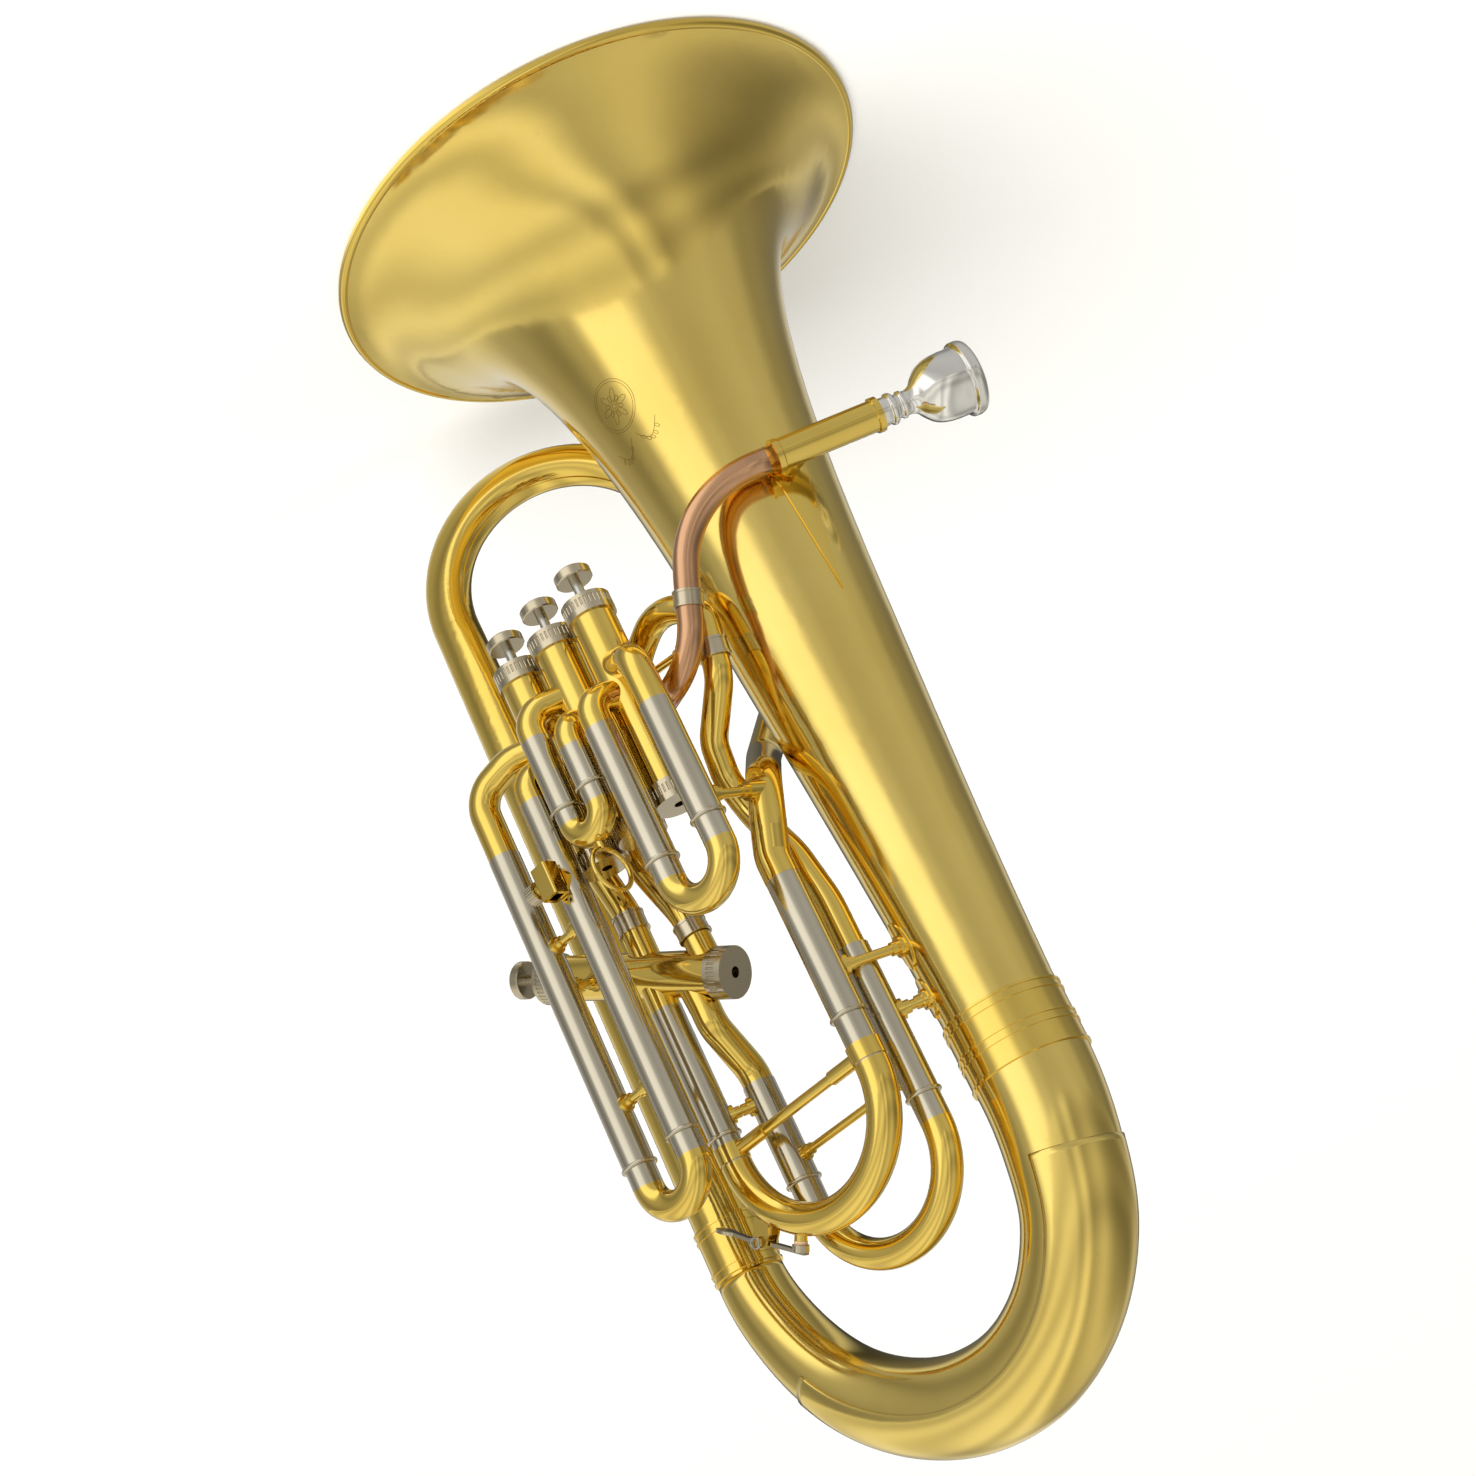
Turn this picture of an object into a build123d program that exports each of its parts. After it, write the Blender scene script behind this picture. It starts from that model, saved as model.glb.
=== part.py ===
"""Euphonium with three front valves and one side valve, standing on its bell rim.

Frame, in millimetres: the origin is the centre of the bell mouth, on the surface that the rim rests on.
+Z runs up the bell to the bottom bow, +X from the bell to the outer branch, and -Y is the valve side.
"""
from build123d import *
from math import cos, pi, radians, sin
import os

os.makedirs("parts", exist_ok=True)

# Driving dimensions -------------------------------------------------------------------------------
BELL_RADIUS = 145.0
BELL_WALL = 0.8
STEM_RADIUS = 28.4
STEM_TOP = 497.0
STEM_STRAIGHT = 22.0
RIM_WIRE_RADIUS = 2.7
RIM_WIRE_SINK = 0.25
BRANCH_X = 200.0
BRANCH_RADIUS = 17.0
BRANCH_TOP_RADIUS = 12.7
BRANCH_LOW_Z = 120.0
TUBE_WALL = 0.8
THIN_WALL = 0.55
RUNNING_GAP = 0.05
FERRULE_WALL = 0.7
LOOP_RADIUS = 7.1

VALVE_BORE = 10.3
VALVE_WALL = 1.0
VALVE_LENGTH = 117.5
VALVE_CAP_RADIUS = 12.7
VALVE_CAP_HEIGHT = 10.0
VALVE_TRAVEL = 11.3
STEM_ROD_RADIUS = 2.7
BUTTON_RADIUS = 9.5
PORT_RADIUS = 7.0

# Valve axes: the origin of each is the middle of its top cap's face, and +Z of each points to the bottom cap.
FRONT_VALVE_X = (63.5, 91.5, 119.5)
FRONT_VALVE_Y = -70.0
FRONT_VALVE_Z = 210.5
SIDE_VALVE_TOP = Vector(191.7, -59.0, 347.1)
SIDE_VALVE_AXIS = Vector(-0.868, 0.059, 0.493)

VALVE_PLANES = [
    Plane(origin=(x, FRONT_VALVE_Y, FRONT_VALVE_Z), x_dir=(1, 0, 0), z_dir=(0, 0, 1))
    for x in FRONT_VALVE_X
]
VALVE_PLANES.append(Plane(origin=SIDE_VALVE_TOP, x_dir=(0.493, 0, 0.868), z_dir=SIDE_VALVE_AXIS))
VALVE_OUTER = VALVE_BORE + VALVE_WALL

# Slides: the legs' axes (x, y), the stretch of each outer tube in z, and the z where the bow starts.
MAIN_RIGHT = Vector(38.0, -57.0)
MAIN_LEFT = Vector(133.0, -57.0)
FOURTH_RIGHT = Vector(35.0, -36.0)
FOURTH_LEFT = Vector(116.0, -38.0)
FIRST_RIGHT = Vector(35.5, -92.0)
FIRST_LEFT = Vector(70.5, -92.0)
SECOND_RIGHT = Vector(89.5, -92.0)
SECOND_LEFT = Vector(109.5, -92.0)
THIRD_RIGHT = Vector(127.5, -90.0)
THIRD_LEFT = Vector(159.5, -90.0)

FIRST_OUTER = 8.0
SECOND_OUTER = 7.6
THIRD_OUTER = 8.0
FOURTH_OUTER = 8.0
MAIN_RIGHT_OUTER = 8.5
MAIN_LEFT_OUTER = 7.7

MAIN_BOW_Z = 483.0
FOURTH_BOW_Z = 516.0
FIRST_BOW_Z = 367.0
SECOND_BOW_Z = 310.0
THIRD_BOW_Z = 478.0

MOUTHPIPE_END = Vector(-49.0, -35.0, 203.0)
MOUTHPIPE_AXIS = Vector(-0.67, 0.74, -0.05).normalized()
RECEIVER_LENGTH = 57.0


# Shared shapes ------------------------------------------------------------------------------------
def at(leg, z):
    """Point on a slide leg's axis at height z."""
    return Vector(leg.X, leg.Y, z)


def rod(start, end, radius, bore=0.0, mode=Mode.ADD):
    """Round rod or pipe between two points."""
    start, end = Vector(start), Vector(end)
    with BuildSketch(Plane(origin=start, z_dir=end - start)) as section:
        Circle(radius)
        if bore:
            Circle(bore, mode=Mode.SUBTRACT)
    extrude(section.sketch, amount=(end - start).length, mode=mode)


def bent_tube(points, radii, outer, wall, mode=Mode.ADD):
    """Tube along straight runs joined by tangent arcs, one radius for each inner corner."""
    with BuildLine() as line:
        FilletPolyline(*points, radius=radii)
    path = line.wire()
    with BuildSketch(Plane(origin=path @ 0, z_dir=path % 0)) as section:
        Circle(outer)
        if wall < outer:
            Circle(outer - wall, mode=Mode.SUBTRACT)
    sweep(section.sketch, path=path, mode=mode)


def bore_out(plane, radius, low, high):
    """Cut a round bore along a plane's axis."""
    rod((plane * Location((0, 0, low))).position, (plane * Location((0, 0, high))).position, radius,
        mode=Mode.SUBTRACT)


def cut_at_valve(number):
    """Trim a pipe that starts on a valve's axis back to the outside of the casing."""
    bore_out(VALVE_PLANES[number - 1], VALVE_OUTER, -5, VALVE_LENGTH + 5)


def valve_axis_point(number, depth):
    """Point on a valve's axis, measured from its top cap."""
    return (VALVE_PLANES[number - 1] * Location((0, 0, depth))).position


def conical_tube(stations, side, wall, grow=0.0):
    """Tube lofted through round sections; each station is (centre, direction, outer radius)."""
    for inset, mode in ((0.0, Mode.ADD), (wall, Mode.SUBTRACT)):
        sections = []
        for centre, direction, radius in stations:
            with BuildSketch(Plane(origin=centre, x_dir=side, z_dir=direction)) as section:
                Circle(radius + grow - inset)
            sections.append(section.sketch)
        loft(sections, mode=mode)


def half_turn(start, end, away, radii, count=9):
    """Stations of a semicircular bow from start to end, bulging along the unit vector away."""
    start, end = Vector(start), Vector(end)
    middle = (start + end) / 2
    half = start - middle
    stations = []
    for step in range(count):
        share = step / (count - 1)
        angle = pi * share
        centre = middle + half * cos(angle) + away * (half.length * sin(angle))
        direction = away * (half.length * cos(angle)) - half * sin(angle)
        stations.append((centre, direction, radii[0] + (radii[1] - radii[0]) * share))
    return stations


def bow(right, left, z, outer, wall):
    """Slide bow of one size between two legs."""
    start, end = at(right, z), at(left, z)
    middle = (start + end) / 2
    with BuildLine() as line:
        ThreePointArc(start, middle + Vector(0, 0, (start - middle).length), end)
    path = line.wire()
    with BuildSketch(Plane(origin=start, z_dir=(0, 0, 1))) as section:
        Circle(outer)
        Circle(outer - wall, mode=Mode.SUBTRACT)
    sweep(section.sketch, path=path)


def outer_leg(leg, low, high, outer):
    """Fixed slide tube with a bead round its open end."""
    rod(at(leg, low), at(leg, high), outer, outer - THIN_WALL)
    with Locations(at(leg, high - 1.0)):
        Torus(outer, 1.0)
    rod(at(leg, high - 2.2), at(leg, high + 0.2), outer - THIN_WALL, mode=Mode.SUBTRACT)


def inner_leg(leg, low, high, outer):
    """Sliding leg that runs inside a fixed slide tube of the given outer radius."""
    slider = outer - THIN_WALL - RUNNING_GAP
    rod(at(leg, low), at(leg, high), slider, slider - THIN_WALL)


def ferrule(centre, direction, inner, length):
    """Joint sleeve round a tube, with a raised ring at each end."""
    centre, direction = Vector(centre), Vector(direction).normalized()
    half = direction * (length / 2)
    rod(centre - half, centre + half, inner + FERRULE_WALL, inner)
    for end in (centre - half + direction * 0.6, centre + half - direction * 0.6):
        rod(end - direction * 0.6, end + direction * 0.6, inner + FERRULE_WALL + 0.4, inner)


def stay(start, end, radius, foot, reach_start, reach_end):
    """Cross stay between two tubes' axes, with a thicker sleeve and a flange where it meets each tube."""
    start, end = Vector(start), Vector(end)
    along = (end - start).normalized()
    rod(start, end, radius)
    for point, way, reach in ((start, along, reach_start), (end, -along, reach_end)):
        rod(point, point + way * (reach + 1.2), foot)
        rod(point, point + way * (reach + 4.5), radius + 0.9)


def save(part, name):
    """Label a finished piece and write its file."""
    part.label = name
    export_step(part, f"parts/{name}.step")


# Bell ---------------------------------------------------------------------------------------------
BELL_OUTLINE = [
    (142.0, 4.6), (131.5, 8.6), (113.5, 20.5), (90.0, 41.0), (71.5, 74.0), (58.6, 121.0),
    (48.8, 185.0), (40.7, 280.0), (34.3, 368.0), (30.4, 432.0), (STEM_RADIUS, STEM_TOP - STEM_STRAIGHT),
]


with BuildPart() as bell:
    with BuildSketch(Plane.XZ) as bell_section:
        with BuildLine():
            flare = Spline(*BELL_OUTLINE)
            inside = []
            for point in BELL_OUTLINE:
                way = flare.tangent_at(point)
                inside.append(Vector(*point) + Vector(-way.Y, way.X) * BELL_WALL)
            throat = Spline(*inside)
            Line(throat @ 0, flare @ 0)
            stem_out = Line(flare @ 1, (STEM_RADIUS, STEM_TOP))
            stem_in = Line(throat @ 1, (STEM_RADIUS - BELL_WALL, STEM_TOP))
            Line(stem_out @ 1, stem_in @ 1)
        make_face()
    revolve(axis=Axis.Z)
save(bell.part, "bell")

with BuildPart() as rim_wire:
    wire_centre = BELL_RADIUS - RIM_WIRE_RADIUS
    with BuildSketch(Plane.XZ) as wire_section:
        with Locations((wire_centre, RIM_WIRE_RADIUS - RIM_WIRE_SINK)):
            Circle(RIM_WIRE_RADIUS)
        with Locations((wire_centre, 0)):
            Rectangle(20, 10, align=(Align.CENTER, Align.MAX), mode=Mode.SUBTRACT)
    revolve(axis=Axis.Z)
    add(bell.part, mode=Mode.SUBTRACT)
save(rim_wire.part, "rim_wire")

# Main bows and branches ---------------------------------------------------------------------------
BOW_START = STEM_TOP + 16.0
BOW_POINTS = [(0, BOW_START), (4, 548), (15, 581), (39, 608), (72, 623), (108, 623),
              (142, 610), (171, 586), (191, 552), (BRANCH_X, BOW_START)]
BOW_RADII = [28.4, 27.2, 26.0, 25.2, 24.6, 23.7, 22.4, 20.6, 18.7, 17.0]

with BuildLine(Plane.XZ) as bow_line:
    Spline(*BOW_POINTS, tangents=[(0, 1), (0, -1)])
BOW_PATH = bow_line.wire()


def bow_stations(first, last, count):
    """Round sections along the bottom bow between two shares of its length."""
    stations = []
    for step in range(count):
        share = first + (last - first) * step / (count - 1)
        place = share * (len(BOW_RADII) - 1)
        index = min(int(place), len(BOW_RADII) - 2)
        radius = BOW_RADII[index] + (BOW_RADII[index + 1] - BOW_RADII[index]) * (place - index)
        stations.append((BOW_PATH @ share, BOW_PATH % share, radius))
    return stations


with BuildPart() as bottom_bow:
    conical_tube(bow_stations(0, 1, 13), (0, 1, 0), TUBE_WALL)
    rod((0, 0, STEM_TOP), (0, 0, BOW_START), STEM_RADIUS, STEM_RADIUS - TUBE_WALL)
save(bottom_bow.part, "bottom_bow")

GUARD_WALL = 1.0
with BuildPart() as bow_guard:
    conical_tube(bow_stations(0.14, 0.9, 11), (0, 1, 0), GUARD_WALL, grow=GUARD_WALL)
    with BuildSketch(Plane.XZ) as inner_side:
        with BuildLine():
            belly = Spline(*BOW_POINTS, tangents=[(0, 1), (0, -1)])
            Line(belly @ 1, belly @ 0)
        make_face()
    extrude(amount=40, both=True, mode=Mode.SUBTRACT)
    add(bottom_bow.part, mode=Mode.SUBTRACT)
save(bow_guard.part, "bow_guard")

BRANCH_LOW = Vector(202.5, 0, BRANCH_LOW_Z)
BRANCH_HIGH = Vector(BRANCH_X, 0, BOW_START)
with BuildPart() as outer_branch:
    conical_tube([(BRANCH_LOW, (0, 0, 1), BRANCH_TOP_RADIUS), (BRANCH_HIGH, (0, 0, 1), BRANCH_RADIUS)],
                 (0, 1, 0), TUBE_WALL)
save(outer_branch.part, "outer_branch")

BACK_LEG = Vector(92.0, 78.0, BRANCH_LOW_Z)
BACK_RADIUS = 11.2
with BuildPart() as top_bow:
    bow_chord = BACK_LEG - BRANCH_LOW
    conical_tube(half_turn(BRANCH_LOW, BACK_LEG, Vector(0, 0, -1), (BRANCH_TOP_RADIUS, BACK_RADIUS)),
                 bow_chord.cross(Vector(0, 0, 1)), TUBE_WALL)
save(top_bow.part, "top_bow")

MAIN_TUBE_RADIUS = 8.7
BACK_JOINT = Vector(74.0, 66.0, 214.0)
BACK_JOINT_AXIS = Vector(-8.0, -20.0, 48.0).normalized()
MAIN_FEED = [BACK_JOINT, BACK_JOINT + BACK_JOINT_AXIS * 52, Vector(56, -2, 304), Vector(26, -54, 340),
             at(MAIN_RIGHT, 374), at(MAIN_RIGHT, 386)]
MAIN_FEED_BENDS = [60, 26, 34, 16]
with BuildPart() as back_branch:
    bent_tube([BACK_LEG, BACK_LEG + Vector(0, 0, 26), BACK_JOINT - BACK_JOINT_AXIS * 26, BACK_JOINT],
              [40, 60], BACK_RADIUS, TUBE_WALL)
    bent_tube(MAIN_FEED, MAIN_FEED_BENDS, MAIN_TUBE_RADIUS, TUBE_WALL)
    rod(BACK_JOINT - BACK_JOINT_AXIS * 1.5, BACK_JOINT, BACK_RADIUS, MAIN_TUBE_RADIUS - TUBE_WALL)
save(back_branch.part, "back_branch")

with BuildPart() as bow_ferrules:
    for low, high, inner in ((480, 512, STEM_RADIUS),):
        rod((0, 0, low), (0, 0, high), inner + FERRULE_WALL, inner)
        for ring in (low, low + 4, low + 16, low + 20, high - 1.2):
            rod((0, 0, ring), (0, 0, ring + 1.2), inner + FERRULE_WALL + 0.6, inner)
    for ring in (484, 488, 506, 510):
        rod((BRANCH_X, 0, ring), (BRANCH_X, 0, ring + 1.2), BRANCH_RADIUS + 1.2, BRANCH_RADIUS - 0.5)
    rod((BRANCH_X, 0, 484), (BRANCH_X, 0, 511), BRANCH_RADIUS + 0.6, BRANCH_RADIUS - 0.5)
    add(outer_branch.part, mode=Mode.SUBTRACT)
save(bow_ferrules.part, "bow_ferrules")

# Small tubing between the valves and the slides ---------------------------------------------------
ARCH_JOINT = Vector(22.0, -51.0, 272.0)
with BuildPart() as fourth_loop_arch:
    bent_tube([ARCH_JOINT, (17, -50, 246), (40, -50, 230), (68, -46, 238), (112, -42, 291),
               (123, -44, 321), (101, -54, 368), valve_axis_point(4, 105)], [14, 26, 60, 30, 36, 40],
              LOOP_RADIUS, TUBE_WALL)
    cut_at_valve(4)
save(fourth_loop_arch.part, "fourth_loop_arch")

with BuildPart() as fourth_loop_s_tube:
    bent_tube([ARCH_JOINT, ARCH_JOINT + Vector(5, -1, 26) * 0.35, (47, -47, 303), (53, -42, 320),
               (52, -36, 341), (41, -35, 370), at(FOURTH_RIGHT, 400), at(FOURTH_RIGHT, 426)],
              [20, 20, 25, 40, 60, 60], 6.9, TUBE_WALL)
save(fourth_loop_s_tube.part, "fourth_loop_s_tube")

LINK_FOOT = Vector(132.5, -55.0, 345.0)
with BuildPart() as valve_link_tube:
    bent_tube([valve_axis_point(3, 89.5), (128, -57, 302), (138, -54, 320), LINK_FOOT,
               LINK_FOOT + Vector(0, 0, 35)], [9, 14, 30], LOOP_RADIUS, TUBE_WALL)
    cut_at_valve(3)
    cut_at_valve(4)
save(valve_link_tube.part, "valve_link_tube")

LEAD_RADIUS = 6.5
LEADPIPE = [MOUTHPIPE_END, MOUTHPIPE_END - MOUTHPIPE_AXIS * 12, Vector(-12, -66, 205), Vector(6, -67, 240),
            Vector(20, -69, 274), valve_axis_point(1, 75.5)]
LEADPIPE_BENDS = [50, 25, 60, 14]
with BuildPart() as leadpipe:
    bent_tube(LEADPIPE, LEADPIPE_BENDS, LEAD_RADIUS, TUBE_WALL)
    cut_at_valve(1)
save(leadpipe.part, "leadpipe")

with BuildPart() as joint_ferrules:
    ferrule(ARCH_JOINT + Vector(-0.9, 0.2, -4.6), (5, 1, 26), LOOP_RADIUS + 0.3, 9)
    ferrule(LINK_FOOT + Vector(0, 0, 7), (0, 0, 1), LOOP_RADIUS, 10)
    ferrule((100.8, -54.1, 375), (-1, 0.3, 14), LOOP_RADIUS + 0.3, 8)
    ferrule(BACK_JOINT - BACK_JOINT_AXIS * 5, BACK_JOINT_AXIS, BACK_RADIUS, 12)
    ferrule(LEADPIPE[3] + Vector(3.3, -0.5, 8), (14, -2, 34), LEAD_RADIUS + 0.1, 8)
    for tube in (fourth_loop_arch, fourth_loop_s_tube, valve_link_tube, back_branch, leadpipe):
        add(tube.part, mode=Mode.SUBTRACT)
save(joint_ferrules.part, "joint_ferrules")

# Knuckles: number of the valve, corner points, corner radii and outer radius.
KNUCKLES = [
    (1, [valve_axis_point(1, 37.5), at(FIRST_RIGHT, 264), at(FIRST_RIGHT, 291)], [18], 7.8),
    (1, [valve_axis_point(1, 53), at(FIRST_LEFT, 266), at(FIRST_LEFT, 281)], [10], 7.8),
    (2, [valve_axis_point(2, 34), at(SECOND_LEFT, 247), at(SECOND_LEFT, 262)], [12], 7.4),
    (2, [valve_axis_point(2, 53), at(SECOND_RIGHT, 266), at(SECOND_RIGHT, 279)], [10], 7.4),
    (3, [valve_axis_point(3, 45), Vector(138, -83, 255), at(THIRD_LEFT, 262), at(THIRD_LEFT, 297)],
     [18, 16], 7.8),
    (3, [valve_axis_point(3, 59), at(THIRD_RIGHT, 272), at(THIRD_RIGHT, 286)], [10], 7.8),
    (4, [valve_axis_point(4, 67.6), at(MAIN_LEFT, 387), at(MAIN_LEFT, 400)], [12], 7.6),
    (4, [valve_axis_point(4, 88), Vector(113.5, -54, 411), Vector(113.5, -54, 420), at(FOURTH_LEFT, 444),
         at(FOURTH_LEFT, 451)], [14, 16, 18], 7.6),
]
with BuildPart() as valve_knuckles:
    for number, points, radii, outer in KNUCKLES:
        bent_tube(points, radii, outer, TUBE_WALL)
    for number in (1, 2):
        rod(valve_axis_point(number, 66), valve_axis_point(number + 1, 66), PORT_RADIUS, PORT_RADIUS - 0.8)
    for number in (1, 2, 3, 4):
        cut_at_valve(number)
save(valve_knuckles.part, "valve_knuckles")

# Fixed slide tubes --------------------------------------------------------------------------------
with BuildPart() as main_slide_outer_tubes:
    outer_leg(MAIN_RIGHT, 386, 460, MAIN_RIGHT_OUTER)
    outer_leg(MAIN_LEFT, 400, 470, MAIN_LEFT_OUTER)
save(main_slide_outer_tubes.part, "main_slide_outer_tubes")

with BuildPart() as first_slide_outer_tubes:
    outer_leg(FIRST_RIGHT, 291, 355, FIRST_OUTER)
    outer_leg(FIRST_LEFT, 281, 357, FIRST_OUTER)
save(first_slide_outer_tubes.part, "first_slide_outer_tubes")

with BuildPart() as second_slide_outer_tubes:
    outer_leg(SECOND_RIGHT, 279, 302, SECOND_OUTER)
    outer_leg(SECOND_LEFT, 262, 303, SECOND_OUTER)
save(second_slide_outer_tubes.part, "second_slide_outer_tubes")

with BuildPart() as third_slide_outer_tubes:
    outer_leg(THIRD_RIGHT, 286, 468, THIRD_OUTER)
    outer_leg(THIRD_LEFT, 297, 468, THIRD_OUTER)
save(third_slide_outer_tubes.part, "third_slide_outer_tubes")

with BuildPart() as fourth_slide_outer_tubes:
    outer_leg(FOURTH_RIGHT, 426, 504, FOURTH_OUTER)
    outer_leg(FOURTH_LEFT, 451, 504, FOURTH_OUTER)
save(fourth_slide_outer_tubes.part, "fourth_slide_outer_tubes")

# Sliding legs and bows ----------------------------------------------------------------------------
with BuildPart() as main_slide_legs:
    inner_leg(MAIN_RIGHT, 402, MAIN_BOW_Z, MAIN_RIGHT_OUTER)
    inner_leg(MAIN_LEFT, 412, MAIN_BOW_Z, MAIN_LEFT_OUTER)
save(main_slide_legs.part, "main_slide_legs")

KEY_CENTRE = Vector(85.5, -57.0, MAIN_BOW_Z)
CUP_ANGLE = 56.5
CUP_AXIS = Vector(cos(radians(CUP_ANGLE)), 0, sin(radians(CUP_ANGLE)))
PIVOT = Vector(137.0, -57.0, 521.3)
with BuildPart() as main_slide_bow:
    conical_tube(half_turn(at(MAIN_RIGHT, MAIN_BOW_Z), at(MAIN_LEFT, MAIN_BOW_Z), Vector(0, 0, 1), (8.3, 7.5)),
                 (0, 1, 0), 0.95)
    rod(KEY_CENTRE + CUP_AXIS * 54.6, KEY_CENTRE + CUP_AXIS * 57.6, 3.0, 1.6)
    rod(KEY_CENTRE + CUP_AXIS * 50, KEY_CENTRE + CUP_AXIS * 58, 1.6, mode=Mode.SUBTRACT)
save(main_slide_bow.part, "main_slide_bow")

with BuildPart() as main_slide_brace:
    rod(at(MAIN_RIGHT, 478), at(MAIN_LEFT, 478), 2.6)
    rod(at(MAIN_RIGHT, 478), at(MAIN_RIGHT, 478) + Vector(24, 0, 0), 3.5)
    rod(at(MAIN_LEFT, 478) - Vector(24, 0, 0), at(MAIN_LEFT, 478), 3.5)
    for leg, outer in ((MAIN_RIGHT, 7.9), (MAIN_LEFT, 7.1)):
        rod(at(leg, 473.8), at(leg, 482.2), outer + 0.8)
        rod(at(leg, 470), at(leg, 490), outer, mode=Mode.SUBTRACT)
save(main_slide_brace.part, "main_slide_brace")

SLIDES = [
    ("first_slide", FIRST_RIGHT, FIRST_LEFT, 303, FIRST_BOW_Z, FIRST_OUTER),
    ("second_slide", SECOND_RIGHT, SECOND_LEFT, 283, SECOND_BOW_Z, SECOND_OUTER),
    ("third_slide", THIRD_RIGHT, THIRD_LEFT, 312, THIRD_BOW_Z, THIRD_OUTER),
    ("fourth_slide", FOURTH_RIGHT, FOURTH_LEFT, 456, FOURTH_BOW_Z, FOURTH_OUTER),
]
for slide_name, right, left, low, bow_z, outer in SLIDES:
    with BuildPart() as slide_legs:
        inner_leg(right, low, bow_z, outer)
        inner_leg(left, low, bow_z, outer)
    save(slide_legs.part, f"{slide_name}_legs")
    with BuildPart() as slide_bow:
        bow(right, left, bow_z, outer - THIN_WALL - RUNNING_GAP, THIN_WALL)
    save(slide_bow.part, f"{slide_name}_bow")

RING_CENTRE = Vector(99.5, -92.0, 341.5)
with BuildPart() as slide_pull_ring:
    with BuildSketch(Plane(origin=RING_CENTRE + Vector(0, 0, 11.5), x_dir=(0, 0, 1), z_dir=(0, 1, 0))):
        Circle(1.3)
    revolve(axis=Axis(RING_CENTRE, (1, 0, 0)))
    rod(RING_CENTRE - Vector(0, 0, 18), RING_CENTRE - Vector(0, 0, 10.8), 2.4)
    bore_out(Plane(origin=(99.5, -92, SECOND_BOW_Z + 10), z_dir=(1, 0, 0)), 7.0, -6, 6)
save(slide_pull_ring.part, "slide_pull_ring")

# Water key ----------------------------------------------------------------------------------------
TAB_END = Vector(155.0, -57.0, 506.6)
CUP_TOP = KEY_CENTRE + CUP_AXIS * 62.6
with BuildPart() as water_key_saddle:
    for side in (-1, 1):
        with BuildSketch(Plane(origin=(0, -57.0 + side * 3.6, 0), x_dir=(1, 0, 0), z_dir=(0, -1, 0))):
            with BuildLine():
                Polyline((130.0, 521.0), (134.6, 525.0), (139.3, 523.2), (139.3, 518.6), (133.6, 510.0),
                         (124.0, 512.0), close=True)
            make_face()
        extrude(amount=0.6, both=True)
    rod(PIVOT - Vector(0, 5.0, 0), PIVOT + Vector(0, 5.0, 0), 1.0)
    rod(PIVOT - Vector(0, 5.6, 0), PIVOT - Vector(0, 4.2, 0), 1.9)
    rod(PIVOT + Vector(0, 4.2, 0), PIVOT + Vector(0, 5.6, 0), 1.9)
    with Locations(Location(KEY_CENTRE, (90, 0, 0))):
        Torus(47.5, 7.95, mode=Mode.SUBTRACT)
save(water_key_saddle.part, "water_key_saddle")

with BuildPart() as water_key_lever:
    key_run = (TAB_END - CUP_TOP).normalized()
    key_normal = Vector(-key_run.Z, 0, key_run.X)
    with BuildSketch(Plane(origin=CUP_TOP, x_dir=key_run, z_dir=(0, -1, 0))):
        with BuildLine():
            Polyline((-3.4, -0.9), (27, -0.9), (30, -0.2), (45, -1.2), (45, 0.4), (30, 1.6), (27, 0.9),
                     (-3.4, 0.9), close=True)
        make_face()
    extrude(amount=2.0, both=True)
    with BuildSketch(Plane(origin=TAB_END, x_dir=key_run, z_dir=key_normal)):
        Ellipse(6.0, 4.2)
    extrude(amount=0.8, both=True)
    rod(PIVOT - Vector(0, 2.8, 0), PIVOT + Vector(0, 2.8, 0), 2.0)
    rod(PIVOT - Vector(0, 4, 0), PIVOT + Vector(0, 4, 0), 1.0 + RUNNING_GAP, mode=Mode.SUBTRACT)
    rod(KEY_CENTRE + CUP_AXIS * 59.4, KEY_CENTRE + CUP_AXIS * 62.6, 4.0)
    rod(KEY_CENTRE + CUP_AXIS * 58, KEY_CENTRE + CUP_AXIS * 61.6, 3.2, mode=Mode.SUBTRACT)
save(water_key_lever.part, "water_key_lever")

with BuildPart() as water_key_cork:
    rod(KEY_CENTRE + CUP_AXIS * 57.65, KEY_CENTRE + CUP_AXIS * 61.6, 3.2)
save(water_key_cork.part, "water_key_cork")

with BuildPart() as water_key_spring:
    for side in (-1, 1):
        for turn in (0, 1):
            with BuildSketch(Plane(origin=PIVOT + Vector(0, side * 5.9 + side * turn * 0.9, 0) + Vector(2.4, 0, 0),
                                   z_dir=(0, 0, 1))):
                Circle(0.4)
            revolve(axis=Axis(PIVOT, (0, 1, 0)))
    rod(PIVOT + Vector(0, -6.8, -2.4), PIVOT + Vector(0, 6.8, -2.4), 0.3)
save(water_key_spring.part, "water_key_spring")

# Valves -------------------------------------------------------------------------------------------
def valve_rod(number, low, high, radius, bore=0.0, mode=Mode.ADD):
    """Round piece on a valve's axis, between two distances from the top cap."""
    rod(valve_axis_point(number, low), valve_axis_point(number, high), radius, bore, mode)


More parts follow.
